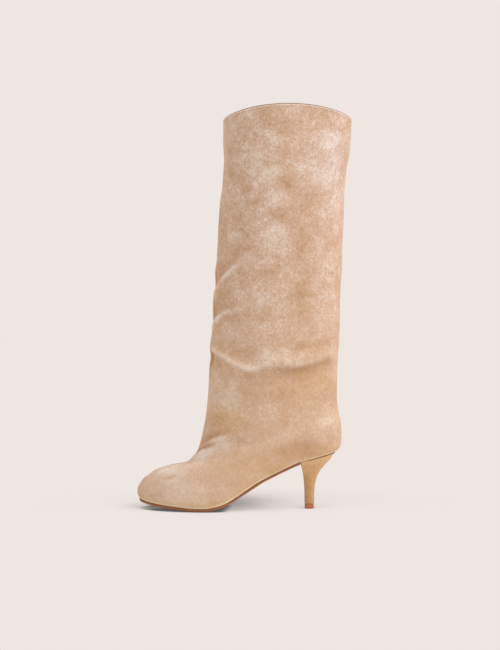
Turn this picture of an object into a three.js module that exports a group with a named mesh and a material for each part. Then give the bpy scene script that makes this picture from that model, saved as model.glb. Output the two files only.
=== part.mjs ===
// Slouch boot for the left foot, in millimetres with +Z up: a one-piece knee-high suede upper
// on a thin outsole and a covered flared heel. The toe points along -X and the outer side of
// the foot faces -Y. The origin is on the floor, under the middle of the heel's tip.
import * as THREE from "three";

// Foot
const footLength = 226; // along the sole's edge line, from toe to back of the heel seat
const ballWidth = 84;
const toeSwing = 5; // how far the toe bends to the inner side
const toeSpring = 9; // lift of the toe over the ball
const instepHeight = 71.7; // from the sole's edge line up to the bend of the ankle
const heelHeight = 65; // floor to the heel seat, at the back
const heelSetback = 30; // from the middle of the heel's tip to the back of the heel seat
const heelBulge = 7; // how far the heel cup stands out over its seat
const counterHeight = 36; // from the heel seat up to the narrow of the heel

// Shaft
const bootHeight = 446.5; // floor to the front and back of the collar
const collarRise = 12.2; // how far the collar's sides stand over its front and back
const collarDepth = 146; // front to back
const collarWidth = 106; // side to side
const shaftSetback = 25; // from the shaft's middle line back to the middle of the heel's tip

// Walls and small parts
const upperWall = 1.8;
const outsoleThickness = 2.5;
const outsoleBevel = 0.8; // how far the sole's lower edge is drawn in
const insoleThickness = 2.5;
const heelSeatLength = 40.2; // from the heel's breast to the back of the seat
const heelTipLength = 10.6;
const heelTipWidth = 11.2;
const topPieceThickness = 5;
const fitGap = 0.3; // clearance between pieces that meet

// Shapes
const collarBow = 1.6; // power of the collar's rise: 1 is a wedge and 2 a shallow bow
const swingShare = 0.6; // share of footLength over which the toe bends

// Facets
const columns = 28; // steps from the front to the back of every ring, on each side

// Turns rows of numbers into objects that name each number by its column.
function table(names, rows) {
  return rows.map((row) => Object.fromEntries(names.map((name, i) => [name, row[i]])));
}

// The sole's edge line from the side. along: share of footLength from the toe,
// spring: share of toeSpring, rise: share of the heel seat's height over the ball.
const edgeLine = table(["along", "spring", "rise"], [
  [0.0, 1.0, 0.0],
  [0.022, 0.79, 0.0],
  [0.047, 0.66, 0.0],
  [0.097, 0.478, 0.0],
  [0.148, 0.317, 0.0],
  [0.199, 0.186, 0.0],
  [0.25, 0.067, 0.0],
  [0.274, 0.0, 0.0],
  [0.336, 0.0, 0.0],
  [0.378, 0.0, 0.022],
  [0.429, 0.0, 0.07],
  [0.465, 0.0, 0.139],
  [0.502, 0.0, 0.219],
  [0.538, 0.0, 0.307],
  [0.573, 0.0, 0.392],
  [0.609, 0.0, 0.474],
  [0.68, 0.0, 0.604],
  [0.751, 0.0, 0.727],
  [0.819, 0.0, 0.833],
  [0.884, 0.0, 0.889],
  [0.955, 0.0, 0.955],
  [1.0, 0.0, 1.0],
]);

// The sole's outline from below, as shares of ballWidth to each side of the middle line.
const outline = table(["along", "outer", "inner"], [
  [0.0, 0.0, 0.0],
  [0.03, 0.17, 0.19],
  [0.08, 0.3, 0.31],
  [0.15, 0.39, 0.42],
  [0.22, 0.445, 0.485],
  [0.28, 0.47, 0.51],
  [0.35, 0.48, 0.495],
  [0.45, 0.45, 0.41],
  [0.55, 0.4, 0.32],
  [0.65, 0.345, 0.28],
  [0.75, 0.31, 0.275],
  [0.85, 0.295, 0.285],
  [0.93, 0.245, 0.245],
  [0.98, 0.14, 0.14],
  [1.0, 0.0, 0.0],
]);

// Sections of the upper's foot, fanned about the heel. front: share of footLength from the
// sole's toe, lift: share of instepHeight over the edge line, back: share of heelBulge,
// climb: share of counterHeight, outer and inner: shares of ballWidth, spread: how much wider
// than the sole, oval: 0 for the sole's outline and 1 for an oval, sag: share of the edge
// line's own dip, rings: steps up to the next section.
const footSections = table(
  ["front", "lift", "back", "climb", "outer", "inner", "spread", "oval", "sag", "rings"],
  [
    [0.0, 0.0, 0.0, 0.0, 0.5, 0.5, 0.0, 0.0, 1.0, 1],
    [-0.009, 0.095, 0.29, 0.047, 0.51, 0.51, 0.025, 0.04, 0.97, 1],
    [-0.006, 0.17, 0.54, 0.1, 0.515, 0.515, 0.04, 0.09, 0.93, 1],
    [0.006, 0.245, 0.74, 0.16, 0.515, 0.515, 0.05, 0.16, 0.87, 1],
    [0.0235, 0.344, 0.886, 0.225, 0.515, 0.515, 0.055, 0.25, 0.79, 1],
    [0.049, 0.415, 0.94, 0.29, 0.51, 0.51, 0.055, 0.34, 0.71, 1],
    [0.074, 0.49, 0.97, 0.36, 0.51, 0.51, 0.05, 0.44, 0.62, 1],
    [0.125, 0.579, 0.986, 0.43, 0.505, 0.505, 0.045, 0.56, 0.5, 1],
    [0.176, 0.639, 1.0, 0.51, 0.5, 0.5, 0.035, 0.67, 0.39, 1],
    [0.227, 0.678, 1.0, 0.585, 0.495, 0.49, 0.03, 0.77, 0.29, 1],
    [0.256, 0.725, 1.0, 0.67, 0.49, 0.485, 0.02, 0.86, 0.2, 1],
    [0.2765, 0.8, 0.97, 0.76, 0.485, 0.48, 0.012, 0.93, 0.12, 1],
    [0.2956, 0.8745, 0.93, 0.87, 0.48, 0.475, 0.005, 0.98, 0.05, 1],
    [0.311, 1.0, 0.83, 1.0, 0.475, 0.475, 0.0, 1.0, 0.0, 1],
  ],
);

// Sections of the shaft. height: share of the way from the ankle to the collar, front and back:
// shares of collarDepth from the middle line, outer and inner: shares of collarWidth,
// rings: steps up to the next section.
const shaftSections = table(["height", "front", "back", "outer", "inner", "rings"], [
  [0.04, 0.666, 0.396, 0.382, 0.382, 1],
  [0.08, 0.646, 0.388, 0.389, 0.389, 1],
  [0.13, 0.6315, 0.39, 0.4, 0.4, 1],
  [0.175, 0.6226, 0.3925, 0.411, 0.411, 1],
  [0.21, 0.6195, 0.397, 0.421, 0.421, 1],
  [0.242, 0.615, 0.402, 0.43, 0.43, 1],
  [0.268, 0.606, 0.4075, 0.436, 0.436, 1],
  [0.295, 0.611, 0.408, 0.441, 0.441, 1],
  [0.32, 0.6065, 0.41, 0.445, 0.445, 1],
  [0.35, 0.591, 0.411, 0.449, 0.449, 1],
  [0.395, 0.59, 0.413, 0.455, 0.455, 1],
  [0.44, 0.588, 0.417, 0.46, 0.46, 1],
  [0.473, 0.574, 0.4226, 0.463, 0.463, 1],
  [0.53, 0.5705, 0.4295, 0.469, 0.469, 1],
  [0.563, 0.56, 0.43, 0.472, 0.472, 2],
  [0.686, 0.543, 0.4425, 0.482, 0.482, 1],
  [0.75, 0.531, 0.446, 0.486, 0.486, 1],
  [0.785, 0.517, 0.453, 0.489, 0.489, 1],
  [0.84, 0.506, 0.466, 0.492, 0.492, 1],
  [0.875, 0.5007, 0.483, 0.494, 0.494, 1],
  [0.933, 0.5075, 0.4986, 0.497, 0.497, 1],
  [1.0, 0.506, 0.503, 0.5, 0.5, 0],
]);

// The main slouch folds, each a soft ridge over a soft trough. from, middle and to: shares of
// the way from the shaft's front to its back, fromUp, middleUp and toUp: heights there as
// shares of the way from the ankle to the collar, depth: share of foldDepth, side: 1 on the
// outer side and -1 on the inner side.
const foldDepth = 3;
const foldWidth = 9;
const troughPlace = 1.7; // how far a trough lies under its ridge, in fold widths
const folds = table(["side", "from", "middle", "to", "fromUp", "middleUp", "toUp", "depth"], [
  [1, 0.0, 0.32, 0.98, 0.287, 0.215, 0.222, 1.0],
  [1, 0.0, 0.08, 0.24, 0.36, 0.385, 0.405, 0.6],
  [1, 0.0, 0.08, 0.24, 0.455, 0.5, 0.535, 0.7],
  [1, 0.0, 0.1, 0.3, 0.0, 0.025, 0.03, 0.7],
  [-1, 0.0, 0.4, 0.98, 0.287, 0.23, 0.222, 0.9],
  [-1, 0.0, 0.15, 0.4, 0.36, 0.375, 0.37, 0.6],
  [-1, 0.55, 0.8, 1.0, 0.43, 0.46, 0.47, 0.6],
  [-1, 0.0, 0.12, 0.35, 0.0, 0.02, 0.03, 0.6],
]);

// The heel under its seat, from the seat down to the tip. drop: share of the way down, breast,
// back and width: shares of the way from the seat's size to the tip's.
const heelSections = table(["drop", "breast", "back", "width"], [
  [0.0, 0.0, 0.0, 0.0],
  [0.06, 0.1, 0.12, 0.11],
  [0.13, 0.24, 0.23, 0.24],
  [0.187, 0.39, 0.355, 0.37],
  [0.24, 0.51, 0.47, 0.48],
  [0.3, 0.63, 0.595, 0.58],
  [0.357, 0.7, 0.705, 0.67],
  [0.42, 0.78, 0.79, 0.75],
  [0.48, 0.84, 0.855, 0.81],
  [0.55, 0.88, 0.91, 0.87],
  [0.64, 0.92, 0.952, 0.92],
  [0.78, 0.96, 0.98, 0.965],
  [1.0, 1.0, 1.0, 1.0],
]);

// The heel tip's outline from below. along: share of heelTipLength from the breast,
// half: share of half the tip's width.
const tipOutline = table(["along", "half"], [
  [0.0, 0.8],
  [0.2, 0.94],
  [0.45, 1.0],
  [0.7, 0.9],
  [0.88, 0.62],
  [0.97, 0.32],
  [1.0, 0.0],
]);

// Places that follow from the sizes
const toeX = heelSetback - footLength;
const breastX = heelSetback - heelSeatLength;
const ankleFrontZ = outsoleThickness + fitGap + instepHeight;
const counterTopZ = heelHeight + fitGap + counterHeight;
const swingStartX = toeX + swingShare * footLength;

// A smooth curve through a table's column that never overshoots its rows.
function smooth(places, values) {
  const last = places.length - 1;
  const steps = places.slice(1).map((place, i) => (values[i + 1] - values[i]) / (place - places[i]));
  const slopes = places.map((_, i) => {
    const before = steps[Math.max(i - 1, 0)];
    const after = steps[Math.min(i, last - 1)];
    return before * after <= 0 ? 0 : (2 * before * after) / (before + after);
  });
  return (place) => {
    const at = THREE.MathUtils.clamp(place, places[0], places[last]);
    const i = Math.min(places.findLastIndex((start) => start <= at), last - 1);
    const span = places[i + 1] - places[i];
    const u = (at - places[i]) / span;
    const rise = values[i + 1] - values[i];
    const left = slopes[i] * span - rise;
    const right = rise - slopes[i + 1] * span;
    return values[i] + u * rise + u * (1 - u) * ((1 - u) * left + u * right);
  };
}

const column = (rows, name) => rows.map((row) => row[name]);
const mix = THREE.MathUtils.lerp;

// The share of the way from front to back, at each of the shared columns.
const angleAt = (i) => (Math.PI * i) / columns;
const shareAt = (angle) => (1 - Math.cos(angle)) / 2;
const angleOf = (share) => Math.acos(THREE.MathUtils.clamp(1 - 2 * share, -1, 1));
const stations = Array.from({ length: columns + 1 }, (_, i) => shareAt(angleAt(i)));

// The middle line of the foot, which bends to the inner side at the toe.
function middleY(x) {
  const lean = THREE.MathUtils.clamp((swingStartX - x) / (swingStartX - toeX), 0, 1);
  return toeSwing * lean * lean;
}

// Half the sole's width at a share of the foot's length; side is 1 outside and -1 inside.
const outlineAngles = column(outline, "along").map(angleOf);
const outerHalf = smooth(outlineAngles, column(outline, "outer"));
const innerHalf = smooth(outlineAngles, column(outline, "inner"));

function soleHalf(angle, side) {
  return ballWidth * (side > 0 ? outerHalf(angle) : innerHalf(angle));
}

// The height of the sole's edge line. Every piece that meets on it uses the same straight
// steps between the shared columns, so that the clearance stays even.
const springAt = smooth(column(edgeLine, "along"), column(edgeLine, "spring"));
const riseAt = smooth(column(edgeLine, "along"), column(edgeLine, "rise"));
const stationZ = stations.map(
  (share) =>
    outsoleThickness + toeSpring * springAt(share) + (heelHeight - outsoleThickness) * riseAt(share),
);

function edgeZ(x) {
  const share = THREE.MathUtils.clamp((x - toeX) / footLength, 0, 1);
  const i = Math.min(stations.findLastIndex((start) => start <= share), columns - 1);
  return mix(stationZ[i], stationZ[i + 1], (share - stations[i]) / (stations[i + 1] - stations[i]));
}

// How far the edge line lies under a straight line from toe to heel.
function dip(x) {
  const share = THREE.MathUtils.clamp((x - toeX) / footLength, 0, 1);
  return edgeZ(x) - mix(stationZ[0], stationZ[columns], share);
}

// The upper's sections in millimetres, from the sole's edge line up to the collar.
function upperSections() {
  const foot = footSections.map((row) => {
    const frontX = toeX + row.front * footLength;
    return {
      frontX,
      frontZ: edgeZ(frontX) + fitGap + row.lift * instepHeight,
      backX: heelSetback + row.back * heelBulge,
      backZ: heelHeight + fitGap + row.climb * counterHeight,
      outer: row.outer * ballWidth,
      inner: row.inner * ballWidth,
      spread: row.spread,
      oval: row.oval,
      sag: row.sag,
      rise: 0,
      rings: row.rings,
    };
  });
  const shaft = shaftSections.map((row) => ({
    frontX: -shaftSetback - row.front * collarDepth,
    frontZ: mix(ankleFrontZ, bootHeight, row.height),
    backX: -shaftSetback + row.back * collarDepth,
    backZ: mix(counterTopZ, bootHeight, row.height),
    outer: row.outer * collarWidth,
    inner: row.inner * collarWidth,
    spread: 0,
    oval: 1,
    sag: 0,
    rise: collarRise * row.height * row.height,
    rings: row.rings,
  }));
  return [...foot, ...shaft];
}

// A point of the upper's outside. level counts sections from the sole, angle runs from 0 at
// the front to a half turn at the back, and side is 1 outside and -1 inside.
const sections = upperSections();
const levels = sections.map((_, i) => i);
const sectionCurves = Object.fromEntries(
  Object.keys(sections[0]).map((name) => [name, smooth(levels, column(sections, name))]),
);

function wallPoint(level, angle, side) {
  const at = (name) => sectionCurves[name](level);
  const share = shareAt(angle);
  const x = mix(at("frontX"), at("backX"), share);
  const ovalHalf = at(side > 0 ? "outer" : "inner") * Math.sin(angle);
  const half = mix(soleHalf(angle, side) * (1 + at("spread")), ovalHalf, at("oval"));
  const rise = at("rise") * Math.sin(angle) ** collarBow;
  const sag = at("sag") * (dip(x) - mix(dip(at("frontX")), 0, share));
  const z = mix(at("frontZ"), at("backZ"), share) + sag + rise;
  return new THREE.Vector3(x, middleY(x) - side * half, z);
}

// How far the folds push a point of the wall out or in.
const foldCurves = folds.map((fold) =>
  smooth([fold.from, fold.middle, fold.to], [fold.fromUp, fold.middleUp, fold.toUp]),
);

function foldPush(share, z, side) {
  const foot = mix(ankleFrontZ, counterTopZ, share);
  return folds.reduce((sum, fold, i) => {
    if (fold.side !== side || share < fold.from || share > fold.to) return sum;
    const reach = Math.sin((Math.PI * (share - fold.from)) / (fold.to - fold.from));
    const over = (z - mix(foot, bootHeight, foldCurves[i](share))) / foldWidth;
    const wave = Math.exp(-over * over) - Math.exp(-((over + troughPlace) ** 2));
    return sum + fold.depth * foldDepth * Math.sqrt(reach) * wave;
  }, 0);
}

// Rings of points run from the front along the outer side to the back and home along the
// inner side, so that point i faces point ring.length - i across the boot.
const wrap = (i, length) => (i + length) % length;

// The outward directions of a surface that is given as a stack of rings.
function ringNormals(rings) {
  return rings.map((ring, r) => {
    const below = rings[Math.max(r - 1, 0)];
    const above = rings[Math.min(r + 1, rings.length - 1)];
    return ring.map((_, i) => {
      const along = ring[wrap(i + 1, ring.length)].clone().sub(ring[wrap(i - 1, ring.length)]);
      return along.cross(above[i].clone().sub(below[i])).normalize();
    });
  });
}

// The directions that point level and outward from a ring.
function levelNormals(ring) {
  return ring.map((_, i) => {
    const along = ring[wrap(i + 1, ring.length)].clone().sub(ring[wrap(i - 1, ring.length)]);
    return new THREE.Vector3(along.y, -along.x, 0).normalize();
  });
}

// The ring, drawn in level by an inset.
function drawnIn(ring, inset) {
  const normals = levelNormals(ring);
  return ring.map((point, i) => point.clone().addScaledVector(normals[i], -inset));
}

// The ring, set at a height over the edge line.
const onEdgeLine = (ring, over) => ring.map((p) => new THREE.Vector3(p.x, p.y, edgeZ(p.x) + over));

// Collects triangles and makes a mesh of them.
function shell() {
  const positions = [];
  const face = (...corners) => corners.forEach((p) => positions.push(p.x, p.y, p.z));
  const quad = (a, b, c, d) => {
    face(a, b, c);
    face(a, c, d);
  };
  const band = (low, high) =>
    low.forEach((_, i) => {
      const next = wrap(i + 1, low.length);
      quad(low[i], low[next], high[next], high[i]);
    });
  // Closes a ring with strips across the boot; up says which way the cap faces.
  const cap = (ring, up) => {
    const half = ring.length / 2;
    const across = (i) => ring[wrap(-i, ring.length)];
    const strip = (...corners) => (up ? face(...corners) : face(...corners.reverse()));
    strip(ring[0], ring[1], across(1));
    strip(ring[half - 1], ring[half], across(half - 1));
    for (let i = 1; i < half - 1; i++) {
      strip(ring[i], ring[i + 1], across(i + 1));
      strip(ring[i], across(i + 1), across(i));
    }
  };
  const geometry = () =>
    new THREE.BufferGeometry().setAttribute("position", new THREE.Float32BufferAttribute(positions, 3));
  return { band, cap, geometry };
}

function mesh(name, geometry, look) {
  geometry.computeVertexNormals();
  const made = new THREE.Mesh(geometry, new THREE.MeshStandardMaterial(look));
  made.name = name;
  return made;
}

// A ring of columns on both sides, from a function of angle and side.
function ringOf(point) {
  const outer = stations.map((_, i) => point(angleAt(i), 1));
  const inner = stations.map((_, i) => point(angleAt(i), -1)).slice(1, -1);
  return [...outer, ...inner.reverse()];
}

const suede = { color: 0xd2ab86, roughness: 0.95, metalness: 0 };
const soleLeather = { color: 0xa5643c, roughness: 0.55, metalness: 0 };
const lining = { color: 0xcfae8c, roughness: 0.7, metalness: 0 };
const rubber = { color: 0xaa5f37, roughness: 0.6, metalness: 0 };

// The upper: foot and shaft in one wall, open at the collar and under the foot.
function upper() {
  const ringLevels = sections.flatMap((section, i) =>
    Array.from({ length: section.rings }, (_, step) => i + step / section.rings),
  );
  ringLevels.push(sections.length - 1);
  const smoothWall = ringLevels.map((level) => ringOf((angle, side) => wallPoint(level, angle, side)));
  const outward = ringNormals(smoothWall);
  const last = ringLevels.length - 1;
  const outside = smoothWall.map((ring, r) =>
    ring.map((point, i) => {
      const side = i <= columns ? 1 : -1;
      const share = stations[i <= columns ? i : ring.length - i];
      const push = r === 0 || r === last ? 0 : foldPush(share, point.z, side);
      return point.clone().addScaledVector(outward[r][i], push);
    }),
  );
  const normals = ringNormals(outside);
  const inside = outside.map((ring, r) => {
    if (r === 0) return onEdgeLine(drawnIn(ring, upperWall), fitGap);
    if (r === last) return drawnIn(ring, upperWall);
    return ring.map((point, i) => point.clone().addScaledVector(normals[r][i], -upperWall));
  });
  const wall = shell();
  for (let r = 0; r < last; r++) {
    wall.band(outside[r], outside[r + 1]);
    wall.band(inside[r + 1], inside[r]);
  }
  wall.band(outside[last], inside[last]);
  wall.band(inside[0], outside[0]);
  return mesh("upper", wall.geometry(), suede);
}

// The sole's whole outline on the floor plan, at the shared columns.
const floorPlan = ringOf((angle, side) => {
  const x = mix(toeX, heelSetback, shareAt(angle));
  return new THREE.Vector3(x, middleY(x) - side * soleHalf(angle, side), 0);
});

// A stretch of the floor plan between two places along X. A cut end is straight across, with
// its middle on the middle line.
function planStretch(fromX, toX) {
  const cutRing = (x) => {
    const angle = angleOf((x - toeX) / footLength);
    return [1, -1].map((side) => new THREE.Vector3(x, middleY(x) - side * soleHalf(angle, side), 0));
  };
  const cutMiddle = (x) => new THREE.Vector3(x, middleY(x), 0);
  const within = (p) => p.x > fromX && p.x < toX;
  const outer = floorPlan.slice(1, columns).filter(within);
  const inner = floorPlan.slice(columns + 1).filter(within);
  const cutsFront = fromX > toeX;
  const cutsBack = toX < heelSetback;
  const front = cutsFront ? cutRing(fromX) : [];
  const back = cutsBack ? cutRing(toX) : [];
  return [
    cutsFront ? cutMiddle(fromX) : floorPlan[0].clone(),
    ...front.slice(0, 1),
    ...outer,
    ...back.slice(0, 1),
    cutsBack ? cutMiddle(toX) : floorPlan[columns].clone(),
    ...back.slice(1),
    ...inner,
    ...front.slice(1),
  ];
}

// The outsole: a thin plate from the toe to the heel's breast.
function outsole() {
  const plan = planStretch(toeX, breastX - fitGap);
  const top = onEdgeLine(plan, 0);
  const bottom = onEdgeLine(drawnIn(plan, outsoleBevel), -outsoleThickness);
  const plate = shell();
  plate.band(bottom, top);
  plate.cap(bottom, false);
  plate.cap(top, true);
  return mesh("outsole", plate.geometry(), soleLeather);
}

// The insole: a plate inside the wall, over the outsole and the heel.
function insole() {
  const plan = drawnIn(floorPlan, upperWall + fitGap);
  const bottom = onEdgeLine(plan, fitGap);
  const top = onEdgeLine(plan, fitGap + insoleThickness);
  const plate = shell();
  plate.band(bottom, top);
  plate.cap(bottom, false);
  plate.cap(top, true);
  return mesh("insole", plate.geometry(), lining);
}

// Half the width of the heel's tip at a share of its length from the breast.
const tipShape = smooth(column(tipOutline, "along"), column(tipOutline, "half"));
const tipHalf = (share) => (tipShape(share) * heelTipWidth) / 2;

// The heel: from the seat, flush with the upper, down to a small tip with a flat breast.
function heel() {
  const seat = onEdgeLine(planStretch(breastX, heelSetback), 0);
  const tipZ = topPieceThickness + fitGap;
  const half = seat.length / 2;
  const rings = heelSections.map((row) => {
    const breast = mix(breastX, -heelTipLength / 2, row.breast);
    const back = mix(heelSetback, heelTipLength / 2, row.back);
    return seat.map((point, i) => {
      const along = (point.x - breastX) / heelSeatLength;
      const middle = i === 0 || i === half;
      const side = i < half ? 1 : -1;
      const y = mix(point.y, middle ? 0 : -side * tipHalf(along), row.width);
      return new THREE.Vector3(mix(breast, back, along), y, mix(point.z, tipZ, row.drop));
    });
  });
  const block = shell();
  rings.slice(1).forEach((ring, r) => block.band(ring, rings[r]));
  block.cap(rings.at(-1), false);
  block.cap(seat, true);
  return mesh("heel", block.geometry(), suede);
}

// The top piece: the heel's hard-wearing tip, which meets the floor.
function topPiece() {
  const seat = planStretch(breastX, heelSetback);
  const half = seat.length / 2;
  const tip = (z) =>
    seat.map((point, i) => {
      const along = (point.x - breastX) / heelSeatLength;
      const side = i < half ? 1 : -1;
      const y = i === 0 || i === half ? 0 : -side * tipHalf(along);
      return new THREE.Vector3((along - 0.5) * heelTipLength, y, z);
    });
  const block = shell();
  block.band(tip(0), tip(topPieceThickness));
  block.cap(tip(0), false);
  block.cap(tip(topPieceThickness), true);
  return mesh("top_piece", block.geometry(), rubber);
}

const boot = new THREE.Group();
boot.add(upper(), outsole(), insole(), heel(), topPiece());
export default boot;
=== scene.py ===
"""Dresses the slouch boot: suede upper with its creases, lining, sole, covered heel and tip.

Tables and sizes are in millimetres, meshes in metres. The toe points along -X, the outer side
faces -Y. A turn is the place round the boot in degrees: 0 at the front, 90 at the middle of
the outer side, -90 at the middle of the inner side and 180 at the back.
"""

import math
from dataclasses import dataclass

import bpy
import numpy as np
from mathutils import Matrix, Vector, noise


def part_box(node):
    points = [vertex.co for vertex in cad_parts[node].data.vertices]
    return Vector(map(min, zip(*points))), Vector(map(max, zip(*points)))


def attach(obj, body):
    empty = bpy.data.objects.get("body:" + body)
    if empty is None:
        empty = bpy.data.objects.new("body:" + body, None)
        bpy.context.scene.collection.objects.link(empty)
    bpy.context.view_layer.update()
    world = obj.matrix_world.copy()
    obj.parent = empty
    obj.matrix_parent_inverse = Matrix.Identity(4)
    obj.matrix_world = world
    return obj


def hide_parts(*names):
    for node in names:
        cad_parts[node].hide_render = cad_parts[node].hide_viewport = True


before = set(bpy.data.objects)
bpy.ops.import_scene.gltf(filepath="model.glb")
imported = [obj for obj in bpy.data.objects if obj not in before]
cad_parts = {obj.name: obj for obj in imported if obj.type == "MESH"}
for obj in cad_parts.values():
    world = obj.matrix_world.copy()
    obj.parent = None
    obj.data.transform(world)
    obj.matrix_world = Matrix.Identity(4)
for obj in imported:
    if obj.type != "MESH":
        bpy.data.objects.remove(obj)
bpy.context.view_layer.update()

MM = 0.001


def node_box(name):
    """A CAD node's lowest and highest corners, in millimetres."""
    low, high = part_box(name)
    return np.array(low) / MM, np.array(high) / MM


upper_low, upper_high = node_box("upper")
sole_low, _ = node_box("outsole")
heel_low, heel_high = node_box("heel")
tip_low, tip_high = node_box("top_piece")

# Sizes that the frame gives
toe_x = sole_low[0]
heel_back_x = heel_high[0]
breast_x = heel_low[0]
foot_length = heel_back_x - toe_x
heel_height = heel_high[2]
heel_tip_length = tip_high[0] - tip_low[0]
heel_tip_width = tip_high[1] - tip_low[1]
top_piece_thickness = tip_high[2]
collar_width = upper_high[1] - upper_low[1]

# Sizes of the last, the shaft and the walls, as in the part's source
ball_width = 84
toe_swing = 5
swing_share = 0.6
toe_spring = 9
instep_height = 71.7
heel_bulge = 7
counter_height = 36
collar_rise = 12.2
collar_bow = 1.6  # how steeply the rim rises to its sides
collar_depth = 146
shaft_setback = 25
upper_wall = 1.8
outsole_thickness = 2.5
fit_gap = 0.3

boot_height = upper_high[2] - collar_rise
ankle_front_z = outsole_thickness + fit_gap + instep_height
counter_top_z = heel_height + fit_gap + counter_height
swing_start_x = toe_x + swing_share * foot_length

# Resolution of the upper and of the sole's plan
row_step = 1.9
columns_a_side = 92
lining_row_step = 3
low_levels = [0, 0.03, 0.07, 0.13, 0.2, 0.28]  # close rows at the lower edge
first_plain_level = 0.35  # where the rows a step apart begin
search_levels = 900  # of the wall, where a crease's points are looked up
search_angles = 181
length_steps = 1800  # of the wall, where its height is measured along its slope
plan_points_a_side = 121
cut_end_points = 9


def table(names, rows):
    """Rows of numbers as one array for each named column."""
    return {name: np.array([row[i] for row in rows], float) for i, name in enumerate(names)}


# The sole's edge line from the side: shares of the foot's length, toe spring and heel rise.
edge_line = table(["along", "spring", "rise"], [
    (0.0, 1.0, 0.0),
    (0.022, 0.79, 0.0),
    (0.047, 0.66, 0.0),
    (0.097, 0.478, 0.0),
    (0.148, 0.317, 0.0),
    (0.199, 0.186, 0.0),
    (0.25, 0.067, 0.0),
    (0.274, 0.0, 0.0),
    (0.336, 0.0, 0.0),
    (0.378, 0.0, 0.022),
    (0.429, 0.0, 0.07),
    (0.465, 0.0, 0.139),
    (0.502, 0.0, 0.219),
    (0.538, 0.0, 0.307),
    (0.573, 0.0, 0.392),
    (0.609, 0.0, 0.474),
    (0.68, 0.0, 0.604),
    (0.751, 0.0, 0.727),
    (0.819, 0.0, 0.833),
    (0.884, 0.0, 0.889),
    (0.955, 0.0, 0.955),
    (1.0, 0.0, 1.0),
])

# The sole's outline from below: shares of the ball's width to each side.
outline = table(["along", "outer", "inner"], [
    (0.0, 0.0, 0.0),
    (0.03, 0.17, 0.19),
    (0.08, 0.3, 0.31),
    (0.15, 0.39, 0.42),
    (0.22, 0.445, 0.485),
    (0.28, 0.47, 0.51),
    (0.35, 0.48, 0.495),
    (0.45, 0.45, 0.41),
    (0.55, 0.4, 0.32),
    (0.65, 0.345, 0.28),
    (0.75, 0.31, 0.275),
    (0.85, 0.295, 0.285),
    (0.93, 0.245, 0.245),
    (0.98, 0.14, 0.14),
    (1.0, 0.0, 0.0),
])

# Sections of the foot, fanned about the heel: shares of the foot's length, instep height, heel
# bulge, counter height and ball width, then how far each is wider than the sole, how far it is
# an oval and how far it follows the edge line's dip.
foot_sections = table(
    ["front", "lift", "back", "climb", "outer", "inner", "spread", "oval", "sag"], [
        (0.0, 0.0, 0.0, 0.0, 0.5, 0.5, 0.0, 0.0, 1.0),
        (-0.009, 0.095, 0.29, 0.047, 0.51, 0.51, 0.025, 0.04, 0.97),
        (-0.006, 0.17, 0.54, 0.1, 0.515, 0.515, 0.04, 0.09, 0.93),
        (0.006, 0.245, 0.74, 0.16, 0.515, 0.515, 0.05, 0.16, 0.87),
        (0.0235, 0.344, 0.886, 0.225, 0.515, 0.515, 0.055, 0.25, 0.79),
        (0.049, 0.415, 0.94, 0.29, 0.51, 0.51, 0.055, 0.34, 0.71),
        (0.074, 0.49, 0.97, 0.36, 0.51, 0.51, 0.05, 0.44, 0.62),
        (0.125, 0.579, 0.986, 0.43, 0.505, 0.505, 0.045, 0.56, 0.5),
        (0.176, 0.639, 1.0, 0.51, 0.5, 0.5, 0.035, 0.67, 0.39),
        (0.227, 0.678, 1.0, 0.585, 0.495, 0.49, 0.03, 0.77, 0.29),
        (0.256, 0.725, 1.0, 0.67, 0.49, 0.485, 0.02, 0.86, 0.2),
        (0.2765, 0.8, 0.97, 0.76, 0.485, 0.48, 0.012, 0.93, 0.12),
        (0.2956, 0.8745, 0.93, 0.87, 0.48, 0.475, 0.005, 0.98, 0.05),
        (0.311, 1.0, 0.83, 1.0, 0.475, 0.475, 0.0, 1.0, 0.0),
    ])

# Sections of the shaft: share of the way from the ankle to the collar, shares of the collar's
# depth to the front and back, and of its width to each side.
shaft_sections = table(["height", "front", "back", "outer", "inner"], [
    (0.04, 0.666, 0.396, 0.382, 0.382),
    (0.08, 0.646, 0.388, 0.389, 0.389),
    (0.13, 0.6315, 0.39, 0.4, 0.4),
    (0.175, 0.6226, 0.3925, 0.411, 0.411),
    (0.21, 0.6195, 0.397, 0.421, 0.421),
    (0.242, 0.615, 0.402, 0.43, 0.43),
    (0.268, 0.606, 0.4075, 0.436, 0.436),
    (0.295, 0.611, 0.408, 0.441, 0.441),
    (0.32, 0.6065, 0.41, 0.445, 0.445),
    (0.35, 0.591, 0.411, 0.449, 0.449),
    (0.395, 0.59, 0.413, 0.455, 0.455),
    (0.44, 0.588, 0.417, 0.46, 0.46),
    (0.473, 0.574, 0.4226, 0.463, 0.463),
    (0.53, 0.5705, 0.4295, 0.469, 0.469),
    (0.563, 0.56, 0.43, 0.472, 0.472),
    (0.686, 0.543, 0.4425, 0.482, 0.482),
    (0.75, 0.531, 0.446, 0.486, 0.486),
    (0.785, 0.517, 0.453, 0.489, 0.489),
    (0.84, 0.506, 0.466, 0.492, 0.492),
    (0.875, 0.5007, 0.483, 0.494, 0.494),
    (0.933, 0.5075, 0.4986, 0.497, 0.497),
    (1.0, 0.506, 0.503, 0.5, 0.5),
])

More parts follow.
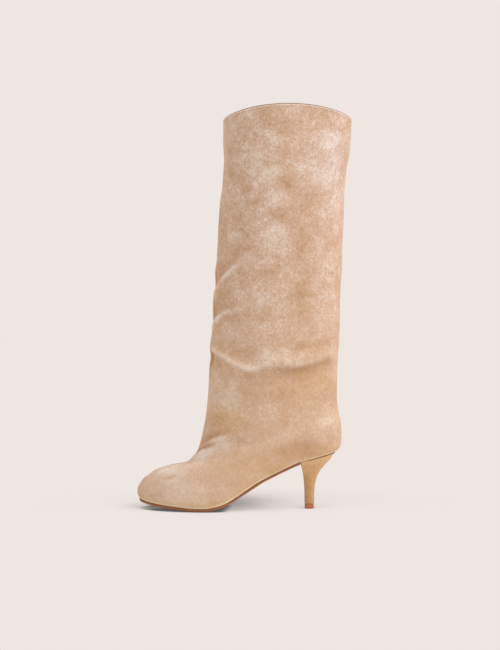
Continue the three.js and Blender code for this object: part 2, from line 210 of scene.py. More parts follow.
# The slouch folds of the solid: shares of the way from the shaft's front to its back, then
# heights there as shares of the way from the ankle to the collar.
fold_depth = 3
fold_width = 9
trough_place = 1.7
FOLDS = [
    # side, from, middle, to, from_up, middle_up, to_up, depth
    (1, 0.0, 0.32, 0.98, 0.287, 0.215, 0.222, 1.0),
    (1, 0.0, 0.08, 0.24, 0.36, 0.385, 0.405, 0.6),
    (1, 0.0, 0.08, 0.24, 0.455, 0.5, 0.535, 0.7),
    (1, 0.0, 0.1, 0.3, 0.0, 0.025, 0.03, 0.7),
    (-1, 0.0, 0.4, 0.98, 0.287, 0.23, 0.222, 0.9),
    (-1, 0.0, 0.15, 0.4, 0.36, 0.375, 0.37, 0.6),
    (-1, 0.55, 0.8, 1.0, 0.43, 0.46, 0.47, 0.6),
    (-1, 0.0, 0.12, 0.35, 0.0, 0.02, 0.03, 0.6),
]

# The heel under its seat: share of the way down, then of the way from the seat's size to the
# tip's.
heel_sections = table(["drop", "breast", "back", "width"], [
    (0.0, 0.0, 0.0, 0.0),
    (0.06, 0.1, 0.12, 0.11),
    (0.13, 0.24, 0.23, 0.24),
    (0.187, 0.39, 0.355, 0.37),
    (0.24, 0.51, 0.47, 0.48),
    (0.3, 0.63, 0.595, 0.58),
    (0.357, 0.7, 0.705, 0.67),
    (0.42, 0.78, 0.79, 0.75),
    (0.48, 0.84, 0.855, 0.81),
    (0.55, 0.88, 0.91, 0.87),
    (0.64, 0.92, 0.952, 0.92),
    (0.78, 0.96, 0.98, 0.965),
    (1.0, 1.0, 1.0, 1.0),
])

# The tip's outline from below: shares of the way to its back, and of half its width.
tip_outline = table(["along", "half"], [
    (0.0, 0.8),
    (0.2, 0.94),
    (0.45, 1.0),
    (0.7, 0.9),
    (0.88, 0.62),
    (0.97, 0.32),
    (1.0, 0.0),
])


def smooth(places, values):
    """A smooth curve through a table's column that never overshoots its rows."""
    places = np.asarray(places, float)
    values = np.asarray(values, float)
    steps = np.diff(values) / np.diff(places)
    before = np.concatenate([steps[:1], steps])
    after = np.concatenate([steps, steps[-1:]])
    same_way = before * after > 0
    total = np.where(same_way, before + after, 1)
    slopes = np.where(same_way, 2 * before * after / total, 0)

    def curve(place):
        at = np.clip(place, places[0], places[-1])
        i = np.clip(np.searchsorted(places, at, side="right") - 1, 0, len(places) - 2)
        span = places[i + 1] - places[i]
        rise = values[i + 1] - values[i]
        u = (at - places[i]) / span
        left = slopes[i] * span - rise
        right = rise - slopes[i + 1] * span
        return values[i] + u * rise + u * (1 - u) * ((1 - u) * left + u * right)

    return curve


def mix(a, b, share):
    """A share of the way from a to b."""
    return a + (b - a) * share


def share_at(angle):
    """The share of the way from front to back at an angle from 0 to pi."""
    return (1 - np.cos(angle)) / 2


def angle_of(share):
    """The other way round from share_at."""
    return np.arccos(np.clip(1 - 2 * share, -1, 1))


def middle_y(x):
    """The foot's middle line, which bends to the inner side at the toe."""
    lean = np.clip((swing_start_x - x) / (swing_start_x - toe_x), 0, 1)
    return toe_swing * lean**2


outer_half = smooth(angle_of(outline["along"]), outline["outer"])
inner_half = smooth(angle_of(outline["along"]), outline["inner"])
spring_at = smooth(edge_line["along"], edge_line["spring"])
rise_at = smooth(edge_line["along"], edge_line["rise"])


def sole_half(angle, side):
    """Half the sole's width on the outer side, 1, or on the inner side, -1."""
    return ball_width * (outer_half(angle) if side > 0 else inner_half(angle))


def edge_z(x):
    """The height of the sole's edge line."""
    share = np.clip((x - toe_x) / foot_length, 0, 1)
    rise = heel_height - outsole_thickness
    return outsole_thickness + toe_spring * spring_at(share) + rise * rise_at(share)


def dip(x):
    """How far the edge line lies under a straight line from toe to heel."""
    share = np.clip((x - toe_x) / foot_length, 0, 1)
    return edge_z(x) - mix(edge_z(toe_x), edge_z(heel_back_x), share)


def upper_curves():
    """Each size of the upper's sections as a curve over their level, from sole to collar."""
    foot, shaft = foot_sections, shaft_sections
    front_x = toe_x + foot["front"] * foot_length
    none, full = np.zeros(len(shaft["height"])), np.ones(len(shaft["height"]))
    parts = {
        "front_x": (front_x, -shaft_setback - shaft["front"] * collar_depth),
        "front_z": (edge_z(front_x) + fit_gap + foot["lift"] * instep_height,
                    mix(ankle_front_z, boot_height, shaft["height"])),
        "back_x": (heel_back_x + foot["back"] * heel_bulge,
                   -shaft_setback + shaft["back"] * collar_depth),
        "back_z": (heel_height + fit_gap + foot["climb"] * counter_height,
                   mix(counter_top_z, boot_height, shaft["height"])),
        "outer": (foot["outer"] * ball_width, shaft["outer"] * collar_width),
        "inner": (foot["inner"] * ball_width, shaft["inner"] * collar_width),
        "spread": (foot["spread"], none),
        "oval": (foot["oval"], full),
        "sag": (foot["sag"], none),
        "rise": (0 * front_x, collar_rise * shaft["height"] ** 2),
    }
    joined = {name: np.concatenate(pair) for name, pair in parts.items()}
    last = len(joined["front_x"]) - 1
    return last, {name: smooth(np.arange(last + 1), column) for name, column in joined.items()}


top_level, section_curves = upper_curves()


def wall_points(level, angle, side):
    """Points of the upper's outside, for arrays of levels and angles that broadcast."""
    at = {name: curve(level) for name, curve in section_curves.items()}
    share = share_at(angle)
    x = mix(at["front_x"], at["back_x"], share)
    sine = np.clip(np.sin(angle), 0, 1)
    oval_half = (at["outer"] if side > 0 else at["inner"]) * sine
    half = mix(sole_half(angle, side) * (1 + at["spread"]), oval_half, at["oval"])
    sag = at["sag"] * (dip(x) - mix(dip(at["front_x"]), 0, share))
    z = mix(at["front_z"], at["back_z"], share) + sag + at["rise"] * sine**collar_bow
    return np.stack(np.broadcast_arrays(x, middle_y(x) - side * half, z), axis=-1)


def fold_push(share, z, side):
    """How far the solid's own folds push the wall out or in."""
    foot = mix(ankle_front_z, counter_top_z, share)
    push = np.zeros_like(z)
    for fold_side, start, middle, end, start_up, middle_up, end_up, depth in FOLDS:
        if fold_side != side:
            continue
        inside = (share >= start) & (share <= end)
        reach = np.sin(np.pi * np.clip((share - start) / (end - start), 0, 1))
        up = smooth([start, middle, end], [start_up, middle_up, end_up])(share)
        over = (z - mix(foot, boot_height, up)) / fold_width
        wave = np.exp(-(over**2)) - np.exp(-((over + trough_place) ** 2))
        push += np.where(inside, depth * fold_depth * np.sqrt(np.abs(reach)) * wave, 0)
    return push


def unit(vectors):
    """Vectors at a length of 1."""
    return vectors / np.maximum(np.linalg.norm(vectors, axis=-1, keepdims=True), 1e-9)


def ring_normals(grid):
    """Outward directions of a grid whose rows are closed rings."""
    along = np.roll(grid, -1, axis=1) - np.roll(grid, 1, axis=1)
    below = np.concatenate([grid[:1], grid[:-1]])
    above = np.concatenate([grid[1:], grid[-1:]])
    return unit(np.cross(along, above - below))


def level_normals(ring):
    """Outward directions of a ring that stay level."""
    along = np.roll(ring, -1, axis=0) - np.roll(ring, 1, axis=0)
    return unit(np.stack([along[:, 1], -along[:, 0], 0 * along[:, 0]], axis=-1))


@dataclass
class Crease:
    """A soft ridge with a trough under it and a hollow over it, with a painted highlight on the
    ridge and painted shade in the trough and the hollow.
    """
    side: int  # 1 on the outer side, -1 on the inner side
    ridge: float  # its height; under 0 it is a valley
    over: float  # how far the ridge reaches up
    lip: float  # how far it reaches down
    fade: tuple  # how long each end takes to rise to the full height
    light: float  # painted highlight on the ridge: how much lighter it is; under 0, painted shade in the valley
    points: list  # places along X and heights, from the toe end to the heel end
    trough: float = 0  # its depth
    under: float = 4  # how far under the ridge it is deepest
    hollow: float = 0  # its depth
    above: float = 6  # how far over the ridge it is deepest
    dark: float = 0  # painted shade in the trough: how much darker it is; under 0, a painted highlight
    shade: float = 0  # painted shade in the hollow: how much darker it is


# Each crease's light, dark and shade paint highlight on its ridge and shade in its trough and
# hollow
CREASES = [
    # The big slouch fold across the outer side: crisp at the front, broad towards the back
    Crease(side=1, ridge=1.7, over=3.8, lip=3, fade=(16, 34), light=0.36,
           trough=1.5, under=5, hollow=1.7, above=10, dark=0.04, shade=0.08,
           points=[(-114, 185), (-109, 181.5), (-100, 175), (-88.5, 167.8), (-78, 162.4),
                   (-70, 160.8), (-61, 161.7), (-52, 164.5), (-42, 168.5)]),
    Crease(side=1, ridge=1.3, over=13, lip=7, fade=(26, 20), light=0.08,
           trough=1.3, under=8, hollow=0.4, above=26, dark=0.13,
           points=[(-68, 164.5), (-55, 165), (-44, 167), (-31, 166.5), (-20, 165), (-6, 166.5),
                   (6, 170.5), (18, 175.5), (29, 180)]),
    # The slits where the folds turn in at the front, dark with painted shade
    Crease(side=1, ridge=-1.8, over=2, lip=2, fade=(5, 4), light=-1.2,
           points=[(-112.5, 182), (-111.3, 174), (-113, 167), (-114.8, 161)]),
    Crease(side=1, ridge=-0.8, over=2, lip=2, fade=(7, 7), light=-1.1,
           points=[(-106.7, 276), (-107.5, 265), (-107.5, 253)]),
    Crease(side=1, ridge=-0.8, over=2, lip=2, fade=(7, 7), light=-1.1,
           points=[(-109.4, 236), (-109.6, 226), (-109.4, 215)]),
    # The shallow valley over the big fold, towards the back
    Crease(side=1, ridge=-0.9, over=6, lip=4.5, fade=(14, 12), light=-0.16,
           under=5, above=10,
           points=[(-24, 184.5), (-12, 185), (2, 187.5), (14, 189), (27, 191.5)]),
    # The two short folds over it, at the front
    Crease(side=1, ridge=1.2, over=2.6, lip=3, fade=(12, 18), light=0.34,
           trough=0.6, under=7, hollow=1.1, above=7, dark=0.06, shade=0.14,
           points=[(-110, 240), (-109, 246), (-104.5, 254), (-98, 263), (-89.5, 272),
                   (-82, 278), (-73, 284)]),
    Crease(side=1, ridge=1.2, over=2.6, lip=3, fade=(24, 18), light=0.4,
           trough=0.9, under=7, hollow=0.9, dark=0.1, shade=0.16,
           points=[(-112.5, 192), (-111.5, 202), (-109, 213), (-103.5, 220), (-96.5, 224.5),
                   (-87.5, 226.5), (-78.5, 226)]),
    # The double crease in front of the ankle, whose troughs are soft lower ridges
    Crease(side=1, ridge=-1.3, over=4.5, lip=1.8, fade=(6, 34), light=-0.36,
           trough=-1.2, under=5, hollow=-0.2, above=9, dark=-0.3,
           points=[(-126, 72), (-120, 77), (-111.5, 82.5), (-102, 86.3), (-91.5, 89.3),
                   (-79, 93)]),
    Crease(side=1, ridge=-1.6, over=2.8, lip=1.8, fade=(4, 20), light=-0.75,
           trough=-0.7, under=5, above=8, dark=-0.26,
           points=[(-130, 64.5), (-123, 69.7), (-116, 73), (-109, 75.6), (-102, 77.5)]),
    # The soft streaks over the toes: painted highlight on one faint wrinkle, painted shade in the
    # next
    Crease(side=1, ridge=0.1, over=2, lip=2, fade=(8, 8), light=0.26, dark=0.08, shade=0.06,
           points=[(-175, 41), (-167, 44.5), (-159, 46.8)]),
    Crease(side=1, ridge=-0.25, over=2, lip=1.8, fade=(8, 8), light=-0.22,
           trough=-0.15, under=3.5, dark=-0.16,
           points=[(-169, 35), (-158, 38), (-147, 40.5)]),
    # The faint crease under the collar
    Crease(side=1, ridge=0.3, over=5, lip=3.5, fade=(8, 8), light=0.08,
           trough=0.5, under=5, hollow=0.1, above=9, dark=0.14,
           points=[(-66, 431), (-55, 426.5), (-46, 419), (-40, 413)]),
    # The inner side, which the photo doesn't show
    Crease(side=-1, ridge=1.6, over=6, lip=3.4, fade=(18, 22), light=0.24,
           trough=1.6, under=6, hollow=1.0, above=13, dark=0.24, shade=0.1,
           points=[(-110, 186), (-98, 178), (-82, 170), (-62, 166), (-40, 167), (-18, 171),
                   (4, 176), (22, 182)]),
    Crease(side=-1, ridge=1.1, over=4, lip=3.5, fade=(12, 12), light=0.18,
           trough=0.8, under=7, hollow=0.6, above=9, dark=0.12, shade=0.06,
           points=[(-16, 262), (-2, 261), (12, 257), (24, 251)]),
    Crease(side=-1, ridge=1.0, over=4, lip=3.5, fade=(12, 12), light=0.18,
           trough=0.7, under=7, hollow=0.6, above=9, dark=0.1, shade=0.06,
           points=[(-100, 205), (-88, 212), (-72, 215), (-56, 214)]),
    Crease(side=-1, ridge=-0.8, over=3.4, lip=2, fade=(9, 16), light=-0.26,
           trough=-0.6, above=8, under=6, dark=-0.16,
           points=[(-125, 74), (-117, 80), (-107, 85), (-96, 88)]),
]

crease_point_step = 0.05  # in places between two points of a crease
crease_reach = 4  # how many of its widths a crease is worked out over
crease_coolness = 0.9  # how much paler the painted highlight on a ridge is, and how much warmer the painted shade in a trough

# Places on the outer side where the tone is darker, under 0, or lighter: the nap's own mottle,
# with painted shade in and over the big fold, in the slit at its front and along the shaft's front
# edge, painted light under the fold and painted highlight towards the lit back of the shaft: place
# along
# X, height, half its length, half its height and how much.
OUTER_NAP_AND_PAINTED_LIGHT = [
    (-72, 433, 6, 3, -0.18), (-76, 420, 5, 5, -0.12), (-90, 410, 6, 9, -0.1),
    (-73, 365, 7, 6, -0.28), (-83, 380, 10, 14, -0.2), (-35, 333, 9, 8, -0.26),
    (-53, 446, 3, 7, -0.16), (-85, 447, 6, 5, -0.1), (-24, 439, 9, 4, -0.18),
    (-28, 402, 13, 7, -0.2), (-26, 369, 4, 8, -0.16), (-64, 347, 6, 4, -0.18),
    (-84, 330, 8, 11, -0.12), (-70, 314, 4, 6, -0.08), (-77, 299, 9, 6, -0.18),
    (-87, 293, 6, 7, -0.18), (-100, 325, 5, 17, -0.18), (-104, 271, 5, 14, -0.18),
    (-46, 270, 10, 7, -0.26), (-59, 286, 4, 3, -0.1), (-10, 297, 4, 9, -0.16),
    (-100, 245, 7, 9, -0.16), (-107, 228, 5, 7, -0.18), (-91, 220, 7, 5, -0.12),
    (-55, 219, 7, 6, -0.1), (-70, 224, 8, 7, -0.1), (-7, 222, 10, 13, -0.12),
    (-80, 180, 16, 8, -0.07), (-79, 154, 16, 5, -0.08), (-14, 158, 20, 6, -0.18),
    (20, 169, 10, 6, -0.14), (-35, 141, 22, 9, -0.1), (-102, 101, 17, 11, -0.18),
    (-116, 83, 8, 5, -0.12), (-2, 70, 20, 8, -0.34), (-25, 66, 10, 5, -0.2),
    (-183, 37, 7, 3, -0.16), (-161, 42, 5, 2, -0.16), (-135, 41, 2, 7, -0.16),
    (-167, 17, 3, 5, -0.18), (-188, 20, 6, 9, 0.04), (24, 80, 7, 9, -0.1),
    (-113, 37, 11, 9, -0.08),
    (24, 419, 11, 11, 0.28), (-12, 390, 22, 17, 0.08),
    (-46, 381, 13, 7, 0.26), (-60, 393, 7, 6, 0.16), (-40, 354, 10, 8, 0.26),
    (-51, 420, 13, 9, 0.18), (-66, 449, 6, 4, 0.16), (-37, 314, 13, 9, 0.18),
    (-29, 295, 8, 6, 0.16), (-31, 232, 13, 8, 0.12), (-57, 237, 6, 6, 0.16),
    (-46, 179, 16, 8, 0.22), (-14, 171, 13, 4, 0.14), (29, 182, 7, 9, 0.1),
    (22, 279, 9, 11, 0.18), (22, 245, 8, 9, 0.12), (30, 341, 7, 34, 0.16),
    (32, 153, 7, 9, 0.18), (-7, 205, 7, 6, 0.08), (-106, 144, 6, 7, 0.16),
    (-91, 123, 11, 6, 0.1), (-48, 138, 7, 6, 0.1), (-45, 121, 9, 6, 0.1),
    (-7, 137, 7, 6, 0.1), (22, 102, 10, 10, 0.26), (-23, 90, 9, 9, 0.18),
    (-100, 74, 14, 7, 0.26), (-126, 59, 6, 5, 0.16), (-158, 46, 20, 7, 0.4),
    (-88, 270, 6, 6, 0.1), (-146, 14, 16, 9, 0.16), (-12, 242, 12, 12, -0.1),
    (-158, 28, 34, 20, 0.2), (-118, 34, 24, 20, 0.1), (2, 405, 26, 40, 0.06),
    (20, 142, 22, 26, -0.14), (-4, 184, 26, 5, -0.08), (-70, 157, 48, 6, 0.2),
    (-98, 126, 18, 30, 0.15), (-84, 206, 24, 14, 0.1), (-66, 320, 20, 110, 0.09),
    (-10, 285, 18, 100, -0.11), (26, 388, 8, 20, 0.16), (-115, 174, 4, 10, -0.5),
    (-60, 438, 9, 8, 0.14),
]

# The same on the inner side, which the photo doesn't show
INNER_NAP = [
    (-80, 425, 9, 6, -0.2), (-30, 436, 14, 5, -0.18), (8, 408, 8, 12, -0.16),
    (-62, 372, 12, 8, -0.24), (-12, 340, 10, 9, -0.2), (-88, 322, 7, 14, -0.16),
    (-40, 296, 12, 6, -0.22), (14, 286, 7, 12, -0.14), (-74, 254, 9, 7, -0.18),
    (-20, 224, 14, 7, -0.16), (-52, 154, 20, 5, -0.2), (-86, 112, 14, 9, -0.16),
    (-6, 78, 14, 6, -0.24), (-150, 34, 8, 4, -0.14),
    (-50, 402, 14, 8, 0.22), (18, 372, 8, 18, 0.16), (-34, 350, 12, 7, 0.22),
    (-66, 300, 8, 8, 0.16), (-8, 260, 12, 8, 0.18), (-48, 238, 12, 7, 0.2),
    (-30, 182, 18, 7, 0.2), (14, 148, 9, 9, 0.16), (-56, 128, 13, 7, 0.14),
    (16, 104, 9, 9, 0.2), (-104, 66, 14, 7, 0.16), (-148, 42, 14, 5, 0.18),
]

# Places where the nap is warmer, or cooler where under 0, in the same way but on both sides: on
# the foot the nap's own warmth, under the big fold and along the front edge painted warm shade,
# and over the upper shaft, most towards its lit back, a painted pale sheen that cools it
WARM_NAP_AND_PAINTED_LIGHT = [
    (-6, 64, 46, 13, 1.0), (-62, 48, 44, 18, 0.6), (-120, 6, 70, 9, 0.5),
    (0, 150, 28, 20, 0.45), (-98, 104, 20, 16, 0.9), (-84, 158, 30, 10, 0.4),
    (-102, 183, 20, 8, 0.6), (-106, 165, 16, 7, 0.6), (-20, 118, 70, 40, 0.3),
    (-106, 280, 6, 70, 0.5), (18, 400, 28, 60, -0.6), (14, 290, 26, 60, -0.25),
    (-62, 350, 20, 100, -0.25), (30, 405, 10, 40, -0.3), (-20, 330, 16, 60, -0.25),
    (-186, 22, 10, 14, 0.25),
]

# How strongly the nap is mottled at each height
nap_contrast = table(["height", "contrast"], [
    (0, 0.6),
    (60, 0.65),
    (100, 0.85),
    (190, 0.95),
    (260, 1.2),
    (460, 1.3),
])

nap_edge_waver = 5  # how far the edges of those places wander
nap_edge_size = 13  # how broad one such wave is
nap_sides_blend = 30  # over how much of the width one side's places give way to the other's


def smooth_rise(value):
    """0 under 0, 1 over 1, with soft ends."""
    value = np.clip(value, 0, 1)
    return value * value * (3 - 2 * value)


def place_on_wall(x, up, side):
    """The level and the angle of a place that is seen from the side."""
    levels = np.linspace(0, top_level, search_levels)
    angles = np.linspace(0, np.pi, search_angles)
    wall = wall_points(levels[:, None], angles[None, :], side)
    nearest = ((wall[..., 0] - x) ** 2 + (wall[..., 2] - up) ** 2).argmin()
    row, column = np.unravel_index(nearest, wall.shape[:2])
    return levels[row], angles[column]


def crease_path(points, side):
    """A crease's given points as a close row of points on the wall."""
    found = [place_on_wall(x, up, side) for x, up in points]
    places = np.arange(len(points))
    fine = np.arange(0, len(points) - 1 + crease_point_step / 2, crease_point_step)
    levels = smooth(places, [level for level, _ in found])(fine)
    angles = smooth(places, [angle for _, angle in found])(fine)
    return wall_points(levels, angles, side)


def nearest_on(path, grid):
    """For each point of a grid: the nearest place on a path, and its distance from both ends."""
    flat = grid.reshape(-1, 3)
    gaps = np.linalg.norm(flat[:, None, :] - path[None, :, :], axis=2)
    i = gaps.argmin(axis=1).reshape(grid.shape[:2])
    lengths = np.concatenate([[0], np.cumsum(np.linalg.norm(np.diff(path, axis=0), axis=1))])
    return i, lengths[i], lengths[-1] - lengths[i]


def bump_away(distance):
    """Rises from 0 to 1 at a distance of 1, then dies away."""
    return np.where(distance > 0, distance**2 * np.exp(2 - 2 * distance), 0)


def crease_field(grid, normals):
    """How far the creases push each point, and how much painted highlight and shade they add to
    its tone.
    """
    push = np.zeros(grid.shape[:2])
    tone = np.zeros(grid.shape[:2])
    for crease in CREASES:
        path = crease_path(crease.points, crease.side)
        reach = crease_reach * max(crease.over, crease.under, crease.above)
        close = np.all((grid > path.min(0) - reach) & (grid < path.max(0) + reach), axis=2)
        rows = np.flatnonzero(close.any(axis=1))
        band = slice(rows[0], rows[-1] + 1)
        near, from_start, from_end = nearest_on(path, grid[band])
        tangents = unit(np.gradient(path, axis=0))
        upward = np.cross(normals[band], tangents[near]) * crease.side
        offset = grid[band] - path[near]
        far = np.linalg.norm(offset, axis=2)
        up = far * np.sign((offset * upward).sum(axis=2))
        fade_in, fade_out = crease.fade
        taper = smooth_rise(from_start / fade_in) * smooth_rise(from_end / fade_out)
        width = np.where(up > 0, crease.over, crease.lip)
        ridge = np.exp(-((up / width) ** 2)) * taper
        trough = bump_away(-up / crease.under) * taper
        hollow = bump_away(up / crease.above) * taper
        push[band] += crease.ridge * ridge
        push[band] -= crease.trough * trough + crease.hollow * hollow
        # Painted highlight on the ridge, painted shade in the trough and the hollow
        tone[band] += crease.light * ridge
        tone[band] -= crease.dark * trough + crease.shade * hollow
    return push, tone


def in_patches(grid, patches):
    """The sum of the listed soft patches at each point."""
    total = np.zeros(grid.shape[:2])
    for x, up, half_length, half_height, amount in patches:
        along = (grid[..., 0] - x) / half_length
        above = (grid[..., 2] - up) / half_height
        total += amount * np.exp(-(along**2) - above**2)
    return total


def nap_patches_and_painted_light(grid):
    """How much lighter and how much warmer the listed patches make each point: the nap's own
    mottle and warmth, with painted highlight and shade.
    """
    shifts = [noise.noise_vector(Vector(point) / nap_edge_size) for point in grid.reshape(-1, 3)]
    wavered = grid + nap_edge_waver * np.array(shifts).reshape(grid.shape)
    outer_share = smooth_rise(0.5 - grid[..., 1] / nap_sides_blend)
    tone = mix(in_patches(wavered, INNER_NAP), in_patches(wavered, OUTER_NAP_AND_PAINTED_LIGHT), outer_share)
    return tone, np.clip(in_patches(wavered, WARM_NAP_AND_PAINTED_LIGHT), -1, 1)


feather_curl = 1.3  # radius of the upper's lower edge, where it turns under
feather_rows = 12  # rows of points that the curl is worked out for
flat_feather_middle = 4  # behind the heel's breast, where the edge turns under less
flat_feather_half = 8
flat_feather_share = 0.7
feather_line_up = 1.6  # how far over the sole the painted highlight line runs
feather_line_light = 0.42
feather_warmth_height = 5
lining_edge_curl = 0.4  # how much of the curl the lining's lower edge follows
collar_rows = [0.9, 1.3, 1.7, 2.1, 2.6, 3.1, 3.7, 4.6]  # distances under the rim
collar_roll_steps = 6
collar_edge_rows = 5  # rows of faces that have the edge's own leather
collar_line_down = 1.9  # how far under the rim the painted highlight line runs
collar_line_light = 0.4
collar_stitch_down = 3.1
collar_bead = 0.25  # how far the folded edge stands out
line_width = 0.7


def even_levels():
    """Levels a row step apart on the wall, closer at the lower edge and at the collar."""
    fine = np.linspace(0, top_level, length_steps)
    middles = wall_points(fine[:, None], np.radians([0, 60, 120, 180])[None, :], 1)
    steps = np.linalg.norm(np.diff(middles, axis=0), axis=2).mean(axis=1)
    lengths = np.concatenate([[0], np.cumsum(steps)])
    plain_end = lengths[-1] - collar_rows[-1] - row_step
    plain = np.interp(np.linspace(0, plain_end, int(plain_end / row_step)), lengths, fine)
    near_rim = np.interp(lengths[-1] - np.array(collar_rows[::-1]), lengths, fine)
    return np.concatenate([low_levels, plain[plain > first_plain_level], near_rim])


def upper_grid():
    """The upper's outside as closed rings, with its folds and creases, and its nap's tone and
    warmth, which carry painted highlight and shade too.
    """
    levels = even_levels()[:, None]
    angles = np.linspace(0, np.pi, columns_a_side + 1)[None, :]
    outer, inner = (wall_points(levels, angles, side) for side in (1, -1))
    plain = np.concatenate([outer, inner[:, -2:0:-1]], axis=1)
    shares = share_at(angles[0])
    shares = np.concatenate([shares, shares[-2:0:-1]])[None, :]
    outward = ring_normals(plain)
    on_outer_side = (np.arange(plain.shape[1]) <= columns_a_side)[None, :]
    outer_push = fold_push(shares, plain[..., 2], 1)
    inner_push = fold_push(shares, plain[..., 2], -1)
    push = np.where(on_outer_side, outer_push, inner_push)
    push[0] = 0
    folded = plain + outward * push[..., None]
    crease_push, tone = crease_field(plain, outward)
    coolness = crease_coolness * tone
    # The folded collar edge stands out a little, with a painted highlight along it
    under_rim = np.array(collar_rows[::-1])
    bead = np.exp(-(((under_rim - collar_line_down) / line_width) ** 2))
    crease_push[-len(under_rim):] += collar_bead * bead[:, None]
    tone[-len(under_rim):] += collar_line_light * bead[:, None]
    over_sole = plain[..., 2] - edge_z(plain[..., 0]) - fit_gap
    # A painted highlight runs along the upper's edge just over the sole
    feather_highlight = np.exp(-(((over_sole - feather_line_up) / line_width) ** 2))
    tone += feather_line_light * feather_highlight
    patches, warmth = nap_patches_and_painted_light(plain)
    feather_warmth = np.exp(-((over_sole / feather_warmth_height) ** 2))
    warmth = np.clip(warmth - coolness + feather_warmth, -1, 1)
    contrast = smooth(nap_contrast["height"], nap_contrast["contrast"])(plain[..., 2])
    tone += patches * contrast
    creased = folded + ring_normals(folded) * crease_push[..., None]
    return creased, {"nap_tone_and_painted_light": tone, "nap_warmth_and_painted_light": warmth, "nap_contrast": contrast}


def mesh_piece(name, points, faces, materials, face_material=None):
    """A mesh object in metres from points in millimetres."""
    mesh = bpy.data.meshes.new(name)
    mesh.from_pydata((np.asarray(points) * MM).tolist(), [], [tuple(f) for f in faces])
    for material in materials:
        mesh.materials.append(material)
    if face_material is not None:
        mesh.polygons.foreach_set("material_index", np.asarray(face_material, np.int32))
    mesh.polygons.foreach_set("use_smooth", [True] * len(mesh.polygons))
    mesh.update()
    piece = bpy.data.objects.new(name, mesh)
    bpy.context.scene.collection.objects.link(piece)
    return piece


def point_values(piece, name, values):
    """Keeps one number for each of a mesh's points, for its material to read."""
    layer = piece.data.attributes.new(name, "FLOAT", "POINT")
    layer.data.foreach_set("value", np.asarray(values, np.float32).ravel())


def ring_faces(ring_count, ring_length, closed=False):
    """Quads between successive rings of points."""
    faces = []
    for r in range(ring_count if closed else ring_count - 1):
        low, high = r * ring_length, ((r + 1) % ring_count) * ring_length
        for i in range(ring_length):
            j = (i + 1) % ring_length
            faces.append((low + i, low + j, high + j, high + i))
    return faces


def drawn_in(ring, inset):
    """A ring drawn in on the level by one inset, or by one for each point."""
    return ring - level_normals(ring) * np.asarray(inset)[..., None]


def dressed_upper(suede, lining, edge):
    """The upper: one closed wall, suede outside and lining inside, with a rolled collar."""
    outside, nap_values = upper_grid()
    length = outside.shape[1]
    over_edge = outside[..., 2] - edge_z(outside[..., 0]) - fit_gap
    for r in range(feather_rows):
        curl = np.clip(feather_curl - over_edge[r], 0, feather_curl)
        inset = feather_curl - np.sqrt(feather_curl**2 - curl**2)
        past_breast = (outside[r][:, 0] - breast_x - flat_feather_middle) / flat_feather_half
        inset = inset * (1 - flat_feather_share * np.exp(-(past_breast**2)))
        outside[r] = drawn_in(outside[r], inset)
    normals = ring_normals(outside)
    radius = upper_wall / 2
    below_rim = outside[-1]
    rim_middle = drawn_in(below_rim, radius)
    rim_out = level_normals(below_rim)
    roll = []
    for step in range(1, collar_roll_steps):
        a = math.pi * step / collar_roll_steps
        lift = np.array([0, 0, math.sin(a) * radius])
        roll.append(rim_middle + rim_out * math.cos(a) * radius + lift)
    inside_top = drawn_in(below_rim, upper_wall)
    inner_rows = list(range(len(outside) - 1 - lining_row_step, feather_rows, -lining_row_step))
    inside = [outside[r] - normals[r] * upper_wall for r in inner_rows]
    inside_low = drawn_in(outside[0], upper_wall - feather_curl * lining_edge_curl)
    rings = [*outside, *roll, inside_top, *inside, inside_low]
    points = np.concatenate(rings)
    faces = ring_faces(len(rings), length, closed=True)
    kinds = np.zeros(len(rings), int)
    edge_start = len(outside) - 1
    kinds[edge_start:edge_start + collar_edge_rows] = 2
    kinds[edge_start + collar_edge_rows:-1] = 1
    piece = mesh_piece("suede_upper", points, faces, [suede, lining, edge],
                       np.repeat(kinds, length))
    for name, values in nap_values.items():
        rest = np.zeros(len(points) - values.size)
        point_values(piece, name, np.concatenate([values.ravel(), rest]))
    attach(piece, "root")
    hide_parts("upper")
    collar_stitches(outside, suede)
    return piece


stitch_length = 2.2
stitch_gap = 0.7
stitch_radius = 0.28
stitch_sides = 6
stitch_sink = 0.75  # how deep a stitch's middle lies, as a share of its radius
stitch_nap_tone = -0.1
stitch_shape = [  # shares of its length and of its radius
    (0, 0.25), (0.12, 0.8), (0.35, 1), (0.65, 1), (0.88, 0.8), (1, 0.25)]
direction_step = 0.3  # how far ahead the way round the collar is read


